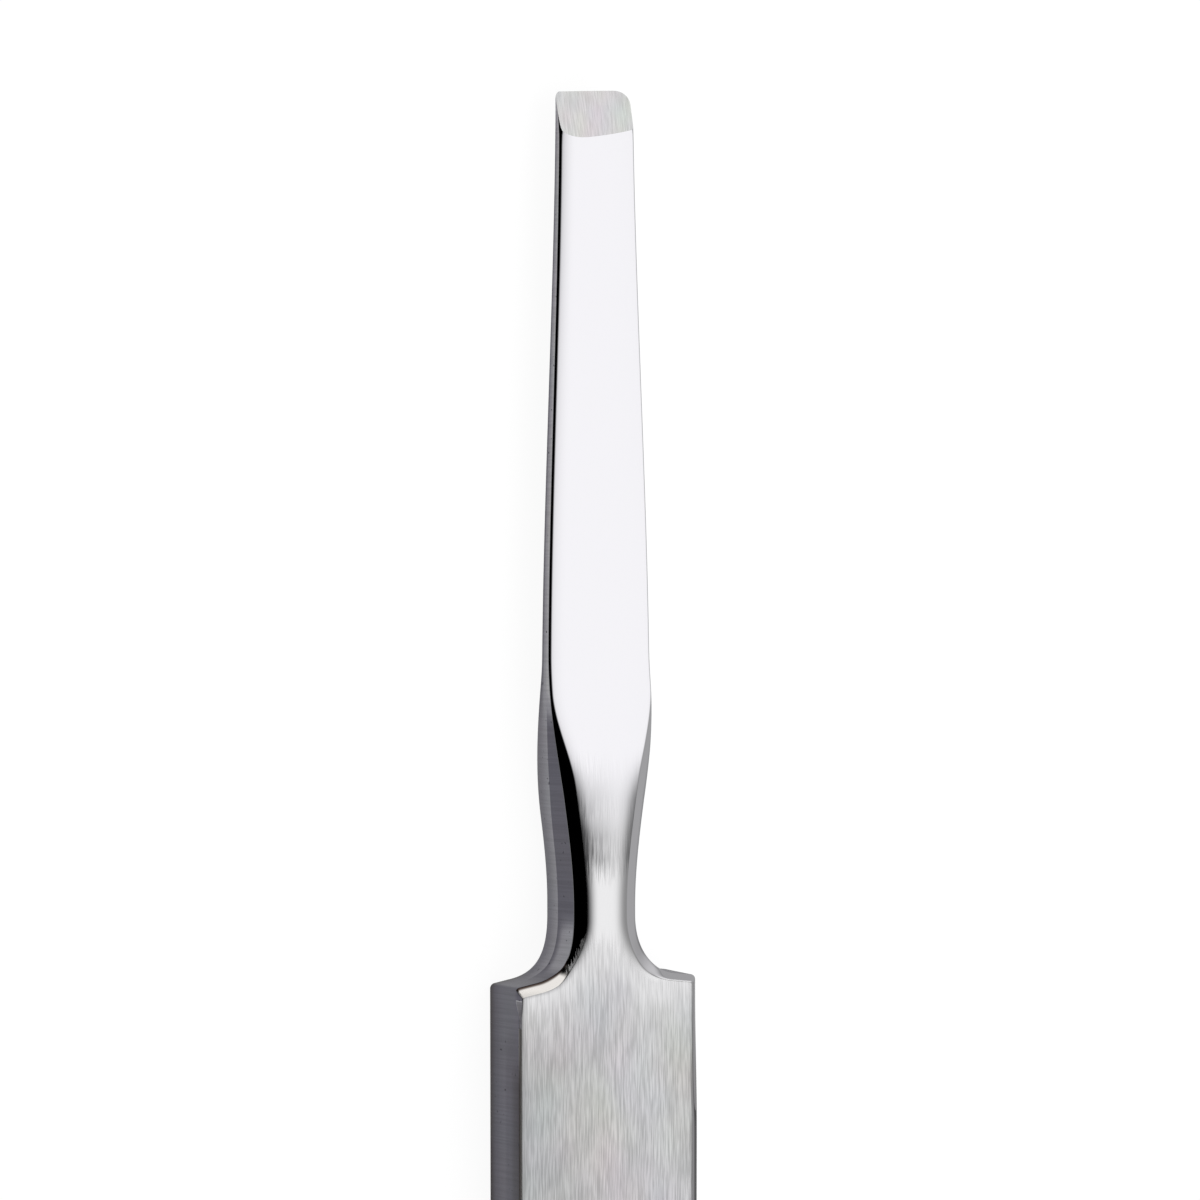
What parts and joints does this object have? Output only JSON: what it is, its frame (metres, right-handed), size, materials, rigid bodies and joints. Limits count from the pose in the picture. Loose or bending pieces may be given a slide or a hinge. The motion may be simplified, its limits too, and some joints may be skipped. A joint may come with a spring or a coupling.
{
  "type": "podiatry chisel",
  "caption": "Podiatry chisel: a flat bar handle, hollow-arced shoulders, a crowned neck and a slim polished blade with a bevelled square cutting edge.",
  "frame": {"origin": "middle of the tool's length and width, at the height of the handle's flat back", "axes": "+Y along the tool towards the cutting edge, +Z out of the front face, +X across the width"},
  "size_m": [0.01, 0.14, 0.0037],
  "materials": {
    "steel": "satin brushed handle, mirror-polished blade and neck, cross-ground sides"
  },
  "bodies": {
    "root": {"chisel": "steel"}
  },
  "joints": []
}
